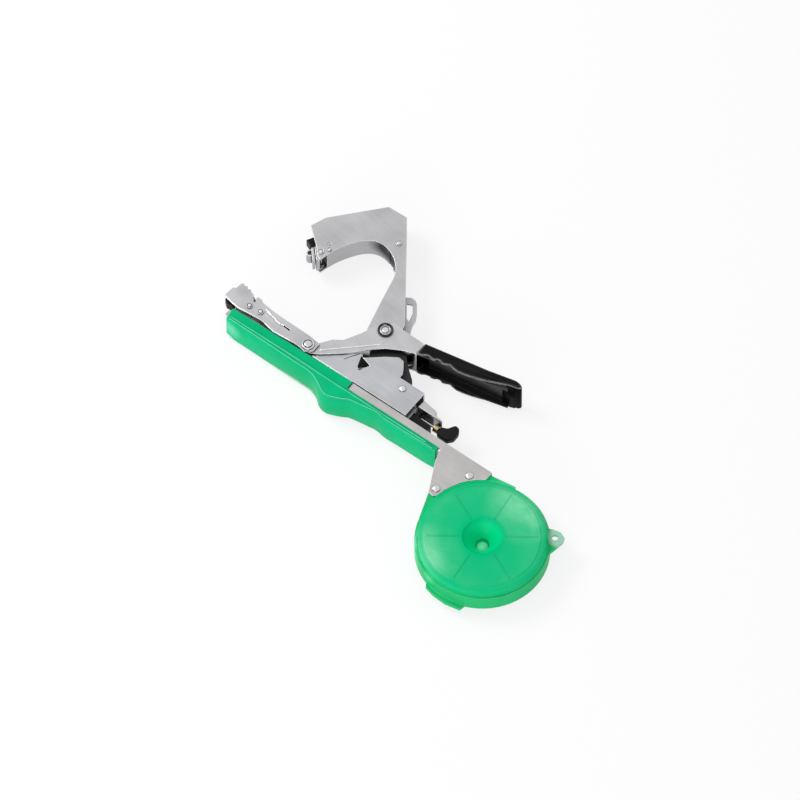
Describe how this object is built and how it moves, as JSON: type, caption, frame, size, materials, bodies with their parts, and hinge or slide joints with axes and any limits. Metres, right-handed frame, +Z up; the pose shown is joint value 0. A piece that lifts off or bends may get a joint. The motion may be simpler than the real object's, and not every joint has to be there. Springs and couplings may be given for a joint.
{
  "type": "plant tying tool",
  "caption": "Hand tool that ties plants to a wire: tape from a round green case is gripped, stapled and cut between a hooked arm and a jaw when the lever is squeezed",
  "frame": {"origin": "middle of the bounding box, on the plane the tool lies on", "axes": "X runs along the handle from the jaw to the tape case, Y from the handle to the hooked arm, Z up through the tool's thickness"},
  "size_m": [0.2724, 0.201, 0.0266],
  "materials": {
    "steel_sheet": "bright zinc-plated sheet, softly brushed",
    "bright_sheet": "plated sheet with a faint warm tone",
    "plated_steel": "polished plated steel",
    "dark_steel": "blackened steel",
    "black_plastic": "satin black moulding",
    "green_plastic": "glossy green moulding",
    "green_case": "semi-translucent green moulding",
    "brass": "plain turned brass",
    "tape_film": "wound pale green film"
  },
  "bodies": {
    "frame": {"handle_rail": "steel_sheet", "side_frame": "steel_sheet", "handle_grip": "green_plastic", "tape_bracket": "bright_sheet", "driver_blade": "plated_steel", "driver_holder": "black_plastic", "magazine_spring": "dark_steel", "lever_pin_near": "plated_steel", "lever_pin_far": "plated_steel", "arm_pin_near": "plated_steel", "arm_pin_far": "plated_steel", "case_base": "green_case", "case_rivet_1": "plated_steel", "case_rivet_2": "plated_steel"},
    "lid": {"case_lid": "green_case"},
    "roll": {"tape_core": "black_plastic", "tape_roll": "tape_film"},
    "magazine": {"jaw_head": "steel_sheet", "jaw_face": "steel_sheet", "tape_guide": "black_plastic", "magazine_channel": "steel_sheet", "staple_track": "steel_sheet", "staples": "plated_steel", "magazine_cover": "bright_sheet", "end_block": "black_plastic", "head_rivet_near_1": "plated_steel", "head_rivet_far_1": "plated_steel", "head_rivet_near_2": "plated_steel", "head_rivet_far_2": "plated_steel"},
    "pusher": {"pusher_block": "black_plastic", "pusher_rod": "plated_steel", "pusher_spring": "plated_steel", "pusher_ferrule": "brass", "pusher_hook": "black_plastic"},
    "lever": {"lever_frame": "steel_sheet", "lever_grip": "black_plastic", "link_pin": "plated_steel", "link_collar": "steel_sheet", "link_ring": "dark_steel", "spring_tab": "steel_sheet"},
    "clincher": {"arm_channel": "steel_sheet", "arm_limb": "dark_steel", "anchor_pin": "plated_steel", "anvil": "plated_steel", "tape_cutter": "steel_sheet", "tip_screw_1": "plated_steel", "tip_screw_2": "plated_steel", "arm_spring": "plated_steel", "gripper_pin": "plated_steel"},
    "gripper": {"tape_gripper": "black_plastic"}
  },
  "joints": [
    {"name": "lever_squeeze", "type": "hinge", "parent": "frame", "child": "lever", "pos_m": [-0.0734, -0.01145, 0.0133], "axis": [0, 0, -1], "range_deg": [0, 14], "stiffness_Nm_per_rad": 0.5, "springref_deg": -17.19},
    {"name": "arm_close", "type": "hinge", "parent": "frame", "child": "clincher", "pos_m": [-0.0085, -0.00055, 0.0133], "axis": [0, 0, 1], "range_deg": [0, 24], "deforming": ["arm_spring"]},
    {"name": "magazine_press", "type": "hinge", "parent": "frame", "child": "magazine", "pos_m": [-0.0734, -0.01145, 0.0133], "axis": [0, 0, 1], "range_deg": [0, 2.4], "stiffness_Nm_per_rad": 0.8, "springref_deg": -8.59, "deforming": ["magazine_spring"]},
    {"name": "pusher_pull", "type": "slide", "parent": "magazine", "child": "pusher", "axis": [1, 0, 0], "range_m": [0, 0.055], "stiffness_N_per_m": 25, "springref_m": -0.05, "deforming": ["pusher_spring"]},
    {"name": "gripper_nip", "type": "hinge", "parent": "clincher", "child": "gripper", "pos_m": [-0.10818, 0.05627, 0.0133], "axis": [0, 0, -1], "range_deg": [0, 6], "stiffness_Nm_per_rad": 0.05, "springref_deg": -17.19},
    {"name": "lid_lift", "type": "slide", "parent": "frame", "child": "lid", "axis": [0, 0, 1], "range_m": [0, 0.03]},
    {"name": "roll_turn", "type": "hinge", "parent": "frame", "child": "roll", "pos_m": [0.0942, -0.05535, 0.0133], "axis": [0, 0, 1], "continuous": true}
  ],
  "couplings": [
    {"joint": "arm_close", "follows": "lever_squeeze", "ratio": 1.714}
  ]
}
